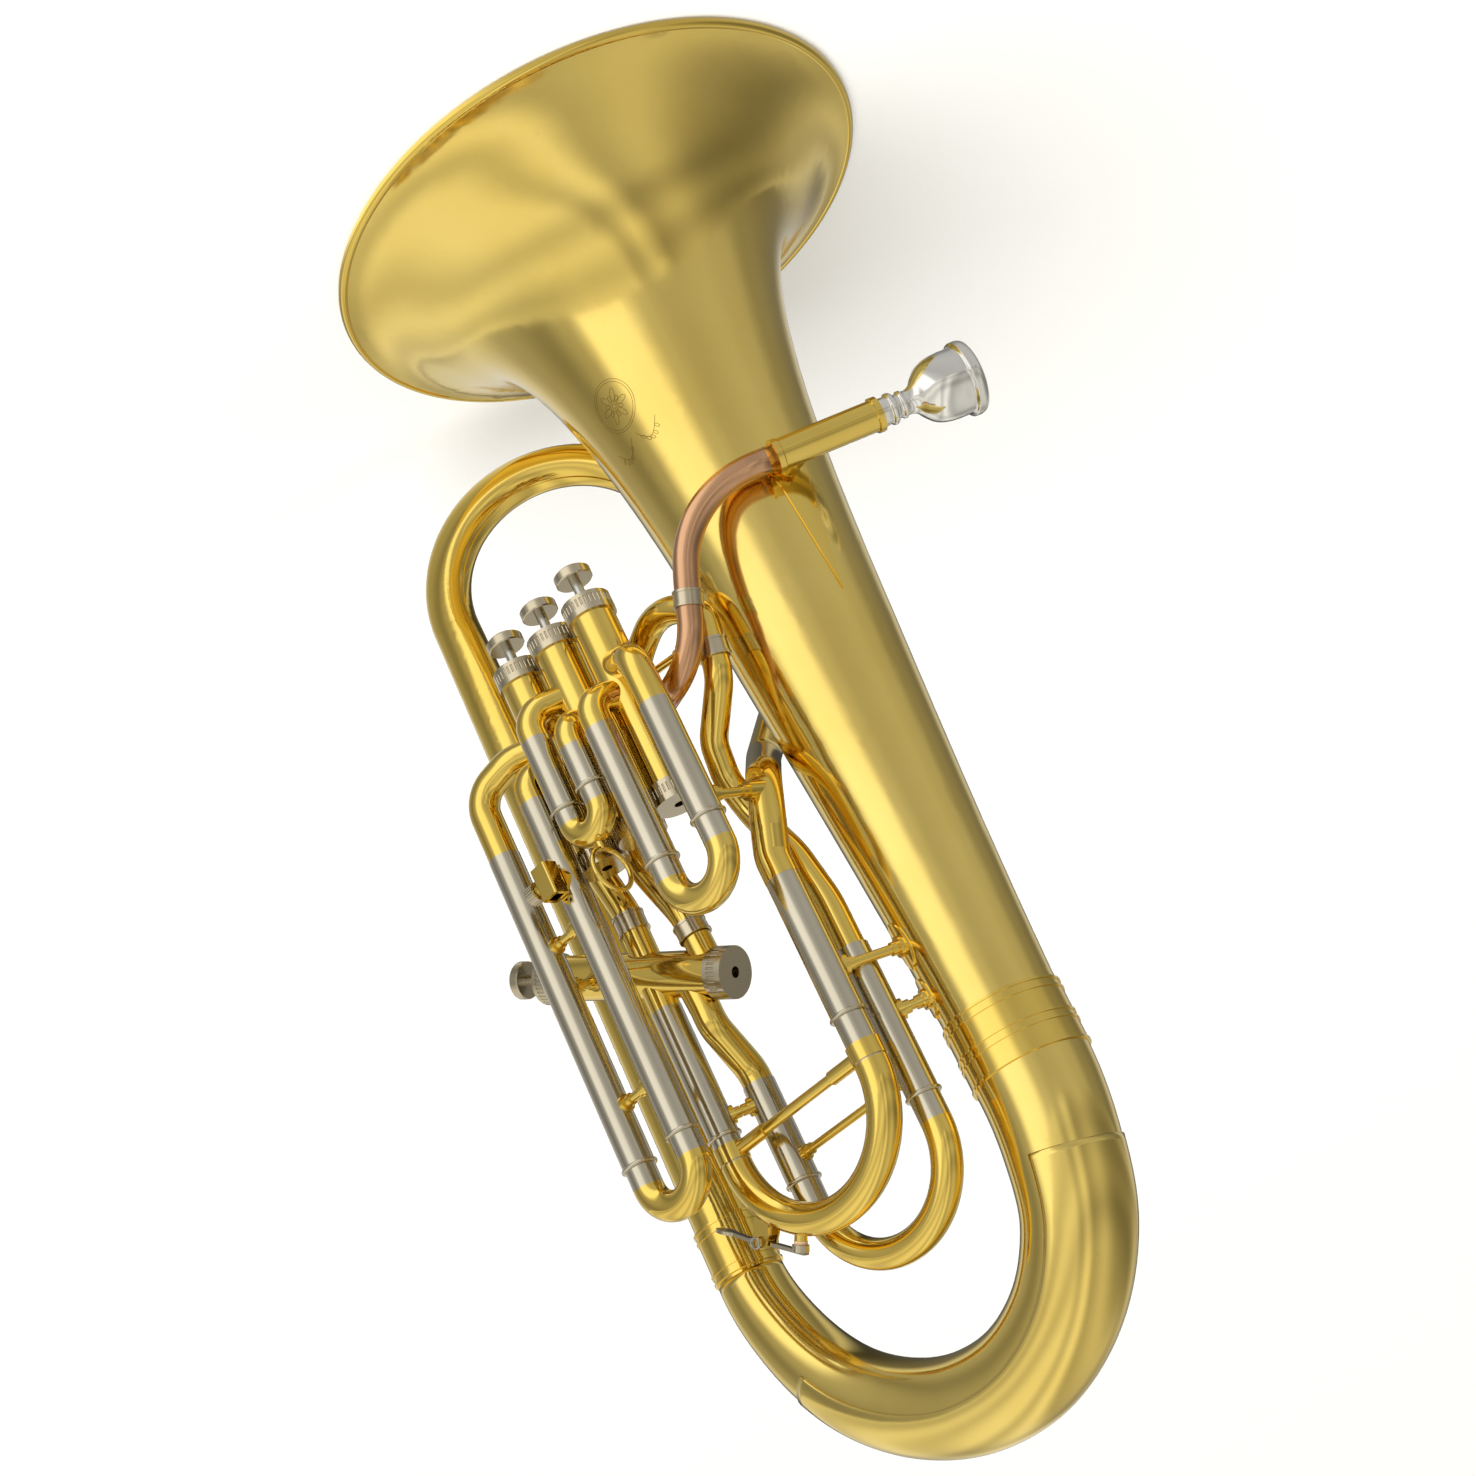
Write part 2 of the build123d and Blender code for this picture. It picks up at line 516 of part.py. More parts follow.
PORTS = {
    1: [(37.5, (-28, -22, 16)), (53, (7, -22, 2)), (66, (1, 0, 0)), (75.5, (-43, 1, -12))],
    2: [(34, (18, -22, 2)), (53, (-2, -22, 2)), (66, (1, 0, 0)), (66, (-1, 0, 0))],
    3: [(45, (18, -13, 0)), (59, (8, -20, 2)), (66, (-1, 0, 0)), (89.5, (8.5, 13, 2))],
    4: [(67.6, (0, 0, 1)), (67.6, (0, 0, -1)), (88, (-5, -1, 24)), (105, (1, 0, -30))],
}
GUIDE_LOW, GUIDE_HIGH = 27.0, 29.6
BARREL_TOP, PISTON_TOP, PISTON_BOTTOM = 5.0, 30.4, 102.5
PISTON_RADIUS = VALVE_BORE - RUNNING_GAP

for number, plane in enumerate(VALVE_PLANES, start=1):
    with BuildPart() as valve_casing:
        valve_rod(number, 3, 114, VALVE_OUTER, VALVE_BORE)
        for depth, direction in PORTS[number]:
            start = valve_axis_point(number, depth)
            reach = start + Vector(direction).normalized() * (22 if number < 4 or depth < 100 else 16)
            rod(start, reach, 6.3, mode=Mode.SUBTRACT)
        with Locations(plane * Location((0, 0, (GUIDE_LOW + GUIDE_HIGH) / 2))):
            Box(3.0, 2 * VALVE_BORE + 1.2, GUIDE_HIGH - GUIDE_LOW)
            Cylinder(5.6, GUIDE_HIGH - GUIDE_LOW)
    save(valve_casing.part, f"valve_casing_{number}")

    with BuildPart() as piston:
        valve_rod(number, BARREL_TOP, PISTON_TOP, PISTON_RADIUS, PISTON_RADIUS - 0.9)
        valve_rod(number, BARREL_TOP, BARREL_TOP + 2, PISTON_RADIUS)
        for side in (-1, 1):
            with Locations(plane * Location((0, side * VALVE_BORE, 22.5))):
                Box(3.5, 4, 15.6, mode=Mode.SUBTRACT)
        valve_rod(number, PISTON_TOP, PISTON_BOTTOM, PISTON_RADIUS)
        valve_rod(number, PISTON_TOP + 1.5, PISTON_BOTTOM - 1.5, PISTON_RADIUS - 1.2, mode=Mode.SUBTRACT)
        passages = ((46, 20), (66, 80), (86, 140))
        for radius, mode in ((6.6, Mode.ADD), (6.0, Mode.SUBTRACT)):
            for depth, angle in passages:
                crossing = plane * Location((0, 0, depth), (0, 0, angle)) * Location((0, 0, 0), (0, 90, 0))
                with Locations(crossing):
                    Cylinder(radius, 2 * PISTON_RADIUS + 2, mode=mode)
        valve_rod(number, PISTON_TOP, PISTON_BOTTOM, PISTON_RADIUS + 6, PISTON_RADIUS, mode=Mode.SUBTRACT)
        valve_rod(number, -17, BARREL_TOP, STEM_ROD_RADIUS)
    save(piston.part, f"piston_{number}")

    with BuildPart() as finger_button:
        with BuildSketch(Plane(origin=plane.origin, x_dir=plane.y_dir, z_dir=plane.x_dir)):
            with BuildLine():
                Polyline((3.4, -20.2), (0, -20.2), (0, -17), (STEM_ROD_RADIUS + 0.02, -17), (STEM_ROD_RADIUS + 0.02, -13),
                         (BUTTON_RADIUS - 0.5, -13), (BUTTON_RADIUS, -13.6), (BUTTON_RADIUS, -17.6))
                ThreePointArc((BUTTON_RADIUS, -17.6), (BUTTON_RADIUS * 0.72, -19.4), (3.4, -20.2))
            make_face()
        revolve(axis=Axis(plane.origin, plane.z_dir))
    save(finger_button.part, f"finger_button_{number}")
def flutes(number, depth, radius, count, size, height):
    """Cut shallow grooves round a cap, starting at a distance from the top cap."""
    with BuildSketch(VALVE_PLANES[number - 1] * Location((0, 0, depth))) as grooves:
        with PolarLocations(radius + size * 0.4, count):
            Circle(size)
    extrude(grooves.sketch, amount=height, mode=Mode.SUBTRACT)


VALVES = (1, 2, 3, 4)
with BuildPart() as valve_top_caps:
    for number in VALVES:
        valve_rod(number, 0, VALVE_CAP_HEIGHT, VALVE_CAP_RADIUS, STEM_ROD_RADIUS + 0.4)
        valve_rod(number, 3, VALVE_CAP_HEIGHT, VALVE_OUTER, mode=Mode.SUBTRACT)
        flutes(number, 2.2, VALVE_CAP_RADIUS, 36, 0.6, 4.4)
save(valve_top_caps.part, "valve_top_caps")

with BuildPart() as valve_bottom_caps:
    for number in VALVES:
        valve_rod(number, 107, VALVE_LENGTH, VALVE_CAP_RADIUS, 2.8)
        valve_rod(number, 107, 114, VALVE_OUTER, mode=Mode.SUBTRACT)
        flutes(number, 109.5, VALVE_CAP_RADIUS, 36, 0.6, 4.6)
save(valve_bottom_caps.part, "valve_bottom_caps")

with BuildPart() as cap_felts:
    for number in VALVES:
        valve_rod(number, -1.5, 0, 7.6, STEM_ROD_RADIUS + 0.6)
save(cap_felts.part, "cap_felts")

SPRING_RADIUS = 7.4
SPRING_WIRE = 0.7
for number, plane in enumerate(VALVE_PLANES, start=1):
    with BuildPart() as valve_spring:
        low, high = BARREL_TOP + 2.1 + SPRING_WIRE, GUIDE_LOW - 0.1 - SPRING_WIRE
        with BuildLine() as coil_line:
            Helix(pitch=(high - low) / 4.5, height=high - low, radius=SPRING_RADIUS,
                  center=valve_axis_point(number, low), direction=plane.z_dir)
        path = coil_line.wire()
        with BuildSketch(Plane(origin=path @ 0, z_dir=path % 0)) as wire_section:
            Circle(SPRING_WIRE)
        sweep(wire_section.sketch, path=path, is_frenet=True)
    save(valve_spring.part, f"valve_spring_{number}")

# Mouthpiece and receiver --------------------------------------------------------------------------
RECEIVER_MOUTH = MOUTHPIPE_END + MOUTHPIPE_AXIS * RECEIVER_LENGTH
ACROSS = MOUTHPIPE_AXIS.cross(Vector(0, 0, 1)).normalized()
MOUTH_PLANE = Plane(origin=RECEIVER_MOUTH, x_dir=ACROSS, z_dir=ACROSS.cross(MOUTHPIPE_AXIS))

with BuildPart() as mouthpiece_receiver:
    with BuildSketch(MOUTH_PLANE):
        with BuildLine():
            Polyline((7.15, 0), (8.9, 0), (8.9, -3.0), (7.9, -3.6), (7.9, -53.4), (8.6, -54.0), (8.6, -57.0),
                     (5.7, -57.0), (5.7, -29.0), (6.8, -27.5), close=True)
        make_face()
    revolve(axis=Axis(RECEIVER_MOUTH, MOUTHPIPE_AXIS))
save(mouthpiece_receiver.part, "mouthpiece_receiver")

with BuildPart() as mouthpiece:
    with BuildSketch(MOUTH_PLANE):
        with BuildLine():
            shank = Polyline((5.4, -25), (6.79, -25), (7.11, 0), (7.3, 6), (8.0, 10))
            outside = Spline(shank @ 1, (8.3, 17), (9.6, 23), (13.4, 30), (16.6, 37.5), (18.0, 45),
                             (19.0, 49.0), tangents=[(0.1, 1), (0.35, 1)])
            rim = Spline(outside @ 1, (17.9, 51.1), (15.6, 51.6), (13.4, 50.6), (12.7, 48.4),
                         tangents=[(-0.1, 1), (-0.1, -1)])
            cup = Spline(rim @ 1, (12.3, 41), (10.4, 32), (6.4, 24.6), (3.3, 20.0),
                         tangents=[(0, -1), (-0.5, -1)])
            Polyline(cup @ 1, (3.3, 13), (5.4, -25))
        make_face()
    revolve(axis=Axis(RECEIVER_MOUTH, MOUTHPIPE_AXIS))
save(mouthpiece.part, "mouthpiece")

# Lyre socket --------------------------------------------------------------------------------------
LYRE = Vector(127.5, -104.0, 331.0)
with BuildPart() as lyre_box:
    with Locations(LYRE):
        Box(10.4, 9.4, 17)
        fillet(lyre_box.edges().filter_by(Axis.Z), 1.2)
        Box(6.4, 5.4, 20, mode=Mode.SUBTRACT)
    rod(LYRE + Vector(5.0, 0, 0), LYRE + Vector(8.0, 0, 0), 3.2)
    rod(LYRE + Vector(2.5, 0, 0), LYRE + Vector(9.0, 0, 0), 1.65, mode=Mode.SUBTRACT)
    rod(LYRE + Vector(0, 4.6, 0), LYRE + Vector(0, 9.0, 0), 3.0)
    with BuildSketch(Plane(origin=LYRE + Vector(0, 5.2, 0), x_dir=(1, 0, 0), z_dir=(0, 1, 0))):
        with BuildLine():
            Polyline((-7.2, 0), (0, -13), (7.2, 0), (0, 13), close=True)
        make_face()
    extrude(amount=3.2)
    rod(at(THIRD_RIGHT, 300), at(THIRD_RIGHT, 360), THIRD_OUTER, mode=Mode.SUBTRACT)
save(lyre_box.part, "lyre_box")

with BuildPart() as lyre_screw:
    rod(LYRE + Vector(3.3, 0, 0), LYRE + Vector(10.4, 0, 0), 1.6)
    with BuildSketch(Plane(origin=LYRE + Vector(8.3, 0, 0), z_dir=(1, 0, 0))) as knurl:
        Circle(5.2)
        with PolarLocations(5.4, 24):
            Circle(0.45, mode=Mode.SUBTRACT)
    extrude(knurl.sketch, amount=5.4)
    rod(LYRE + Vector(13.7, 0, 0), LYRE + Vector(14.6, 0, 0), 3.6)
save(lyre_screw.part, "lyre_screw")

# Stays and soldered feet --------------------------------------------------------------------------
def bell_solid(grow):
    """Solid of revolution inside the bell's outer surface, grown outward, from the mouth to the stem."""
    with BuildSketch(Plane.XZ) as half:
        with BuildLine() as edge:
            hull = Spline(*[(r + grow, z) for r, z in BELL_OUTLINE])
            Polyline(hull @ 1, (STEM_RADIUS + grow, STEM_TOP), (0, STEM_TOP), (0, 4.6), hull @ 0)
        make_face(edge.edges())
    return half.sketch


FOOT_THICKNESS = 1.0
RECEIVER_STAY = MOUTHPIPE_END + MOUTHPIPE_AXIS * 14
# Feet on the bell: outward direction, height, half width, half height and length of a pointed tail.
BELL_FEET = [
    (Vector(38, -57, 0), 436, 7.0, 12.0, 1.0),
    (Vector(35, -36, 0), 462, 7.0, 10.0, 1.0),
    (Vector(RECEIVER_STAY.X, RECEIVER_STAY.Y, 0), 203, 10.0, 14.0, 54.0),
]
with BuildPart() as bell_core:
    revolve(bell_solid(0.0), axis=Axis.Z)

with BuildPart() as foot_blanks:
    for outward, height, half_width, half_height, tail in BELL_FEET:
        face = Plane(origin=(0, 0, height), x_dir=(-outward.Y, outward.X, 0), z_dir=outward)
        with BuildSketch(face) as leaf:
            Ellipse(half_width, half_height)
            with BuildLine() as tail_edge:
                Polyline((-half_width * 0.8, half_height * 0.5), (0, half_height + tail),
                         (half_width * 0.8, half_height * 0.5), close=True)
            make_face(tail_edge.edges())
        extrude(leaf.sketch, amount=80)

with BuildPart() as bell_feet:
    revolve(bell_solid(FOOT_THICKNESS), axis=Axis.Z)
    add(foot_blanks.part, mode=Mode.INTERSECT)
    add(bell_core.part, mode=Mode.SUBTRACT)
save(bell_feet.part, "bell_feet")

with BuildPart() as body_braces:
    stay(at(MAIN_RIGHT, 436), (0, 0, 436), 2.4, 5.2, MAIN_RIGHT_OUTER, 31.5)
    stay(at(FOURTH_RIGHT, 462), (0, 0, 462), 2.4, 5.0, FOURTH_OUTER, 30.2)
    stay(at(FOURTH_LEFT, 492), at(FOURTH_RIGHT, 492), 2.0, 4.0, FOURTH_OUTER, FOURTH_OUTER)
    stay(at(MAIN_LEFT, 460), at(FOURTH_LEFT, 460), 2.0, 4.6, MAIN_LEFT_OUTER, FOURTH_OUTER)
    stay(at(THIRD_LEFT, 352), at(THIRD_RIGHT, 352), 2.2, 4.4, THIRD_OUTER, THIRD_OUTER)
    stay(at(THIRD_LEFT, 438), at(THIRD_RIGHT, 438), 2.2, 4.4, THIRD_OUTER, THIRD_OUTER)
    stay(at(THIRD_LEFT, 372), valve_axis_point(4, 42), 2.6, 5.0, THIRD_OUTER, VALVE_OUTER)
    stay(valve_axis_point(1, 53), LEADPIPE[3] + Vector(11.6, -1.7, 28), 2.0, 4.2, VALVE_OUTER, LEAD_RADIUS)
    stay(at(FIRST_RIGHT, 343), (28.0, -54.5, 343), 2.4, 4.6, FIRST_OUTER, MAIN_TUBE_RADIUS)
    stay(RECEIVER_STAY, (0, 0, 199), 3.0, 6.5, 7.9, 47.0)
    solid_tubes = [
        (at(MAIN_RIGHT, 386), at(MAIN_RIGHT, 470), MAIN_RIGHT_OUTER),
        (at(MAIN_LEFT, 400), at(MAIN_LEFT, 480), MAIN_LEFT_OUTER),
        (at(FOURTH_RIGHT, 430), at(FOURTH_RIGHT, 510), FOURTH_OUTER),
        (at(FOURTH_LEFT, 451), at(FOURTH_LEFT, 510), FOURTH_OUTER),
        (at(THIRD_LEFT, 300), at(THIRD_LEFT, 470), THIRD_OUTER),
        (at(THIRD_RIGHT, 300), at(THIRD_RIGHT, 470), THIRD_OUTER),
        (at(FIRST_RIGHT, 300), at(FIRST_RIGHT, 370), FIRST_OUTER),
        (valve_axis_point(1, 3), valve_axis_point(1, 114), VALVE_OUTER),
        (valve_axis_point(4, 3), valve_axis_point(4, 114), VALVE_OUTER),
        (MOUTHPIPE_END, RECEIVER_MOUTH, 7.9),
    ]
    for low_end, high_end, radius in solid_tubes:
        rod(low_end, high_end, radius, mode=Mode.SUBTRACT)
    bent_tube(MAIN_FEED, MAIN_FEED_BENDS, MAIN_TUBE_RADIUS, MAIN_TUBE_RADIUS, mode=Mode.SUBTRACT)
    bent_tube(LEADPIPE, LEADPIPE_BENDS, LEAD_RADIUS, LEAD_RADIUS, mode=Mode.SUBTRACT)
    revolve(bell_solid(0.0), axis=Axis.Z, mode=Mode.SUBTRACT)
    add(bell_feet.part, mode=Mode.SUBTRACT)
save(body_braces.part, "body_braces")
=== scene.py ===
"""Final looks of the euphonium: metals, four smoother pieces, bell ornament, floor, soft light and camera.

Positions are in metres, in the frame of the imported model: bell mouth on the floor, +Z up the bell.
The outlines of the pieces that stand for CAD nodes are in millimetres, as in the part's source.
"""
import math

import bpy
from mathutils import Matrix, Vector
from mathutils.bvhtree import BVHTree


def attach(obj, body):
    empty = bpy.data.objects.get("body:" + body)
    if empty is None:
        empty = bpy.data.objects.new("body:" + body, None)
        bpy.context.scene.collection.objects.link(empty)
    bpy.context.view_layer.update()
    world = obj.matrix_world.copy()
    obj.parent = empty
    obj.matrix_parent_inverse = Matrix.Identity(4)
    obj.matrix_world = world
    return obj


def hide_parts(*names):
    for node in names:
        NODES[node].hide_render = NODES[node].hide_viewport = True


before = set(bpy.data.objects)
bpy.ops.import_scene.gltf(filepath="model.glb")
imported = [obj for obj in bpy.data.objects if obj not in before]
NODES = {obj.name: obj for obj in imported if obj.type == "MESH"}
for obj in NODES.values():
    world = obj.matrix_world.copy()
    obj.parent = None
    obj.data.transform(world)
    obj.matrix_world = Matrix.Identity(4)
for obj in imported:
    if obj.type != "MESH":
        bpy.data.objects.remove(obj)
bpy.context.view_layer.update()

# Camera: direction to it, roll about the line of sight, place and lens.
CAMERA_AZIMUTH = math.radians(-35.0)
CAMERA_ELEVATION = math.radians(23.54)
CAMERA_ROLL = math.radians(153.98)
CAMERA_PLACE = Vector((-0.66535, -1.04433, 0.84052))
CAMERA_LENS = 68.29
SENSOR_WIDTH = 36.0

# Brightness of the room that polished metal sees, from the horizon (0) to straight up (1).
ROOM_BANDS = ((0.0, 0.85), (0.10, 0.66), (0.26, 0.88), (0.46, 0.66), (0.72, 0.95), (1.0, 1.0))
ROOM_STRENGTH = 1.02
# Share of that brightness from the picture's left (0) to its right (1).
SIDE_BANDS = ((0.0, 0.75), (0.18, 1.0), (0.40, 1.0), (0.50, 0.66), (0.60, 0.98), (0.70, 0.50), (0.84, 0.66),
              (1.0, 0.3))
# What polished metal sees on the floor, by bearing round the object, from -X through -Y, +X and +Y to -X.
CARD_BANDS = ((0.0, 0.40), (0.10, 0.36), (0.16, 0.45), (0.215, 0.95), (0.29, 1.0), (0.34, 0.34),
              (0.40, 0.20), (0.47, 0.30), (0.54, 0.55), (0.60, 0.12), (0.68, 0.04), (0.75, 0.45),
              (0.80, 0.16), (0.88, 0.22), (0.94, 0.36), (1.0, 0.40))
CARD_STRENGTH = 1.35
SUN_STRENGTH = 2.2
SUN_WIDTH = math.radians(46.0)
MIDDLE = Vector((0.05, -0.02, 0.33))
KEY_POWER, KEY_SIZE = 11.0, (0.7, 1.9)
FILL_POWER, FILL_SIZE = 6.0, (0.5, 1.8)
WARMTH = (1.0, 0.985, 0.94)
FLOOR_HALF = 80.0
RIPPLE = 0.00002

# Ornament engraved on the bell: angle round the axis, height and radius.
ORNAMENT_ANGLE = math.radians(-84.0)
ORNAMENT_HEIGHT = 0.131
ORNAMENT_RADIUS = 0.0135
ENGRAVED_WIDTH = 0.00013
BELL_RADIUS_THERE = 0.0585
WELL_OUTSIDE = 0.3
RING_STEPS = 120
LINE_STEPS = 40
STEM_REACH, STEM_RISE, STEM_ARCH = 0.016, 0.018, 0.007
LEAVES, LEAF_STEPS = 5, 24
LEAF_LENGTH, LEAF_HALF_WIDTH = 0.0026, 0.0009

# Mouthpiece: end of the mouthpipe, its axis, and the outline in mm as (radius, distance from the receiver).
MOUTHPIPE_END = Vector((-0.049, -0.035, 0.203))
MOUTHPIPE_AXIS = Vector((-0.67, 0.74, -0.05))
RECEIVER_LENGTH = 0.057
CUP_OUTLINE = ((5.4, -25), (6.79, -25), (7.1, 0), (6.9, 4.6), (7.9, 5.4), (8.1, 6.6), (7.6, 7.8), (6.3, 8.8),
               (6.0, 10.6), (6.9, 11.6), (7.0, 12.6), (6.3, 13.6), (6.1, 16.0), (7.6, 19.2), (11.2, 22.4),
               (14.6, 26.6), (16.4, 32.0), (17.0, 38.0), (17.0, 43.6), (17.5, 44.8), (18.8, 45.4),
               (18.95, 46.6), (18.9, 48.8), (18.0, 50.7), (15.8, 51.5), (13.6, 50.5), (12.7, 48.2),
               (12.3, 41.0), (10.4, 32.0), (6.4, 24.6), (3.3, 20.0), (3.3, 13.0))
SHARP_STEP = 1.2  # mm; a shorter stretch of the outline stays straight
OUTLINE_STEPS = 6
ROUND_STEPS = 96
MM = 1000

# Leadpipe: its line in mm from the receiver to the first valve, the radii of its bends, and its own radius.
LEADPIPE_LINE = ((-49, -35, 203), (-40.96, -43.88, 203.6), (-12, -66, 205), (6, -67, 240), (20, -69, 274),
                 (54.5, -69.8, 283.5))
LEADPIPE_BENDS = (30, 50, 60, 38)
LEADPIPE_RADIUS = 0.0065
BEND_STEPS = 16

# Bottom bow: its line in the XZ plane, with one point more at each end to steer it, and its outer radii,
# in mm; then the steps between two points, and the guard's first and last step.
BOW_LINE = ((4, 478), (0, 513), (4, 548), (15, 581), (39, 608), (72, 623), (108, 623), (142, 610), (171, 586),
            (191, 552), (200, 513), (191, 474))
BOW_RADII = (28.4, 27.2, 26.0, 25.2, 24.6, 23.7, 22.4, 20.6, 18.7, 17.0)
BOW_STEPS = 12
STEM_TOP = 0.497
GUARD_FIRST, GUARD_LAST = 13, 90
GUARD_WALL = 0.0009
GUARD_STEPS = 48
ACROSS = Vector((0, 1, 0))


# Materials ----------------------------------------------------------------------------------------
class Shader:
    """A Principled material whose colour, roughness and bump are built up from noise."""

    def __init__(self, name):
        self.material = bpy.data.materials.new(name)
        self.material.use_nodes = True
        self.tree = self.material.node_tree
        self.shader = self.tree.nodes["Principled BSDF"]
        self.place = self.node("ShaderNodeTexCoord").outputs["Object"]

    def node(self, kind, **settings):
        """New node with the given settings."""
        made = self.tree.nodes.new(kind)
        for key, value in settings.items():
            setattr(made, key, value)
        return made

    def link(self, output, socket):
        """Connect an output to an input socket."""
        self.tree.links.new(output, socket)

    def noise(self, scale, detail=3.0, rough=0.5, stretch=(1.0, 1.0, 1.0)):
        """Noise of so many cells to the metre, stretched along the object's axes."""
        mapping = self.node("ShaderNodeMapping")
        mapping.inputs["Scale"].default_value = stretch
        self.link(self.place, mapping.inputs["Vector"])
        texture = self.node("ShaderNodeTexNoise")
        texture.inputs["Scale"].default_value = scale
        texture.inputs["Detail"].default_value = detail
        texture.inputs["Roughness"].default_value = rough
        self.link(mapping.outputs["Vector"], texture.inputs["Vector"])
        return texture.outputs["Fac"]

    def between(self, factor, low, high, out_low, out_high):
        """The factor's stretch from low to high, mapped to another range."""
        ranged = self.node("ShaderNodeMapRange")
        limits = {"From Min": low, "From Max": high, "To Min": out_low, "To Max": out_high}
        for socket, value in limits.items():
            ranged.inputs[socket].default_value = value
        self.link(factor, ranged.inputs["Value"])
        return ranged.outputs["Result"]

    def mix(self, factor, first, second):
        """Blend of two colours, each a colour or an output."""
        mixed = self.node("ShaderNodeMix", data_type="RGBA")
        self.link(factor, mixed.inputs[0])
        for socket, value in ((mixed.inputs[6], first), (mixed.inputs[7], second)):
            if isinstance(value, tuple):
                socket.default_value = (*value, 1.0)
            else:
                self.link(value, socket)
        return mixed.outputs[2]

    def add(self, first, second):
        """Sum of two outputs."""
        total = self.node("ShaderNodeMath", operation="ADD")
        self.link(first, total.inputs[0])
        self.link(second, total.inputs[1])
        return total.outputs[0]

    def bump(self, height, distance, strength=1.0, below=None):
        """Normal from a height, on top of another bump."""
        bumped = self.node("ShaderNodeBump")
        bumped.inputs["Strength"].default_value = strength
        bumped.inputs["Distance"].default_value = distance
        self.link(height, bumped.inputs["Height"])
        if below is not None:
            self.link(below, bumped.inputs["Normal"])
        return bumped.outputs["Normal"]


def metal(name, bright, dark, tarnish, roughness, coat=0.0, scratch=1.0):
    """Polished metal: cloudy colour, hairline polishing marks, faint ripples and tarnish in small spots."""
    made = Shader(name)
    cloud = made.noise(9.0, 4.0, 0.55)
    streak = made.noise(260.0, 2.0, 0.6, (1.0, 1.0, 0.07))
    spots = made.noise(420.0, 5.0, 0.7)
    base = made.mix(made.between(cloud, 0.32, 0.68, 0.0, 1.0), dark, bright)
    base = made.mix(made.between(spots, 0.66, 0.78, 0.0, 0.55), base, tarnish)
    made.link(base, made.shader.inputs["Base Color"])
    made.shader.inputs["Metallic"].default_value = 1.0
    rough = made.between(cloud, 0.3, 0.7, roughness * 0.82, roughness * 1.18)
    hairline = made.between(streak, 0.45, 0.75, 0.0, roughness * 0.45 * scratch)
    speckle = made.between(spots, 0.62, 0.8, 0.0, 0.16)
    made.link(made.add(made.add(rough, hairline), speckle), made.shader.inputs["Roughness"])
    wave = made.bump(made.noise(38.0, 2.0, 0.4), RIPPLE * 6, 0.35)
    marks = made.bump(streak, RIPPLE, 0.25 * scratch, wave)
    made.link(marks, made.shader.inputs["Normal"])
    made.shader.inputs["Coat Weight"].default_value = coat
    made.shader.inputs["Coat Roughness"].default_value = 0.04
    made.shader.inputs["Coat IOR"].default_value = 1.45
    return made.material


def pressed_felt(name, colour, light):
    """Short matted fibres."""
    made = Shader(name)
    fibre = made.noise(2600.0, 6.0, 0.7)
    clump = made.noise(600.0, 3.0, 0.6)
    shade = made.mix(made.between(fibre, 0.35, 0.7, 0.0, 1.0), colour, light)
    made.link(shade, made.shader.inputs["Base Color"])
    made.link(made.between(clump, 0.3, 0.7, 0.86, 1.0), made.shader.inputs["Roughness"])
    nap = made.bump(fibre, 0.0004, 0.8, made.bump(clump, 0.0006, 0.5))
    made.link(nap, made.shader.inputs["Normal"])
    made.shader.inputs["Sheen Weight"].default_value = 0.5
    made.shader.inputs["Sheen Roughness"].default_value = 0.5
    return made.material


def cork(name):
    """Pale cork with dark pores and a mealy grain."""
    made = Shader(name)
    cells = made.node("ShaderNodeTexVoronoi")
    cells.inputs["Scale"].default_value = 1500.0
    made.link(made.place, cells.inputs["Vector"])
    pores = made.noise(900.0, 5.0, 0.75)
    grain = made.between(cells.outputs["Distance"], 0.0, 0.6, 0.0, 1.0)
    body = made.mix(grain, (0.50, 0.31, 0.16), (0.66, 0.46, 0.28))
    body = made.mix(made.between(pores, 0.6, 0.72, 0.0, 1.0), body, (0.20, 0.11, 0.05))
    made.link(body, made.shader.inputs["Base Color"])
    made.link(made.between(pores, 0.3, 0.7, 0.7, 0.95), made.shader.inputs["Roughness"])
    made.link(made.bump(pores, 0.0003, 0.8), made.shader.inputs["Normal"])
    return made.material


BRASS = metal("lacquered_brass", (0.90, 0.66, 0.16), (0.82, 0.58, 0.12), (0.46, 0.29, 0.08), 0.09, coat=0.12)
BELL_BRASS = metal("bell_brass", (0.91, 0.70, 0.21), (0.84, 0.62, 0.16), (0.52, 0.35, 0.11), 0.11, coat=0.12,
                   scratch=0.6)
NICKEL = metal("nickel_silver", (0.66, 0.61, 0.49), (0.57, 0.52, 0.41), (0.34, 0.30, 0.22), 0.15)
CAP_NICKEL = metal("cap_nickel", (0.68, 0.60, 0.45), (0.56, 0.49, 0.35), (0.26, 0.20, 0.12), 0.18)
PISTON_METAL = metal("piston_metal", (0.66, 0.65, 0.61), (0.56, 0.55, 0.51), (0.36, 0.34, 0.30), 0.26)
ROSE_BRASS = metal("rose_brass", (0.72, 0.42, 0.24), (0.60, 0.33, 0.18), (0.30, 0.14, 0.07), 0.17, coat=0.3)
SILVER = metal("silver_plate", (0.90, 0.89, 0.86), (0.84, 0.83, 0.80), (0.55, 0.52, 0.46), 0.10)
STEEL = metal("spring_wire", (0.58, 0.58, 0.58), (0.46, 0.46, 0.46), (0.22, 0.20, 0.18), 0.28)
ENGRAVING = metal("engraving", (0.34, 0.22, 0.06), (0.26, 0.16, 0.04), (0.15, 0.09, 0.03), 0.38)
FELT = pressed_felt("felt", (0.05, 0.05, 0.05), (0.13, 0.13, 0.12))
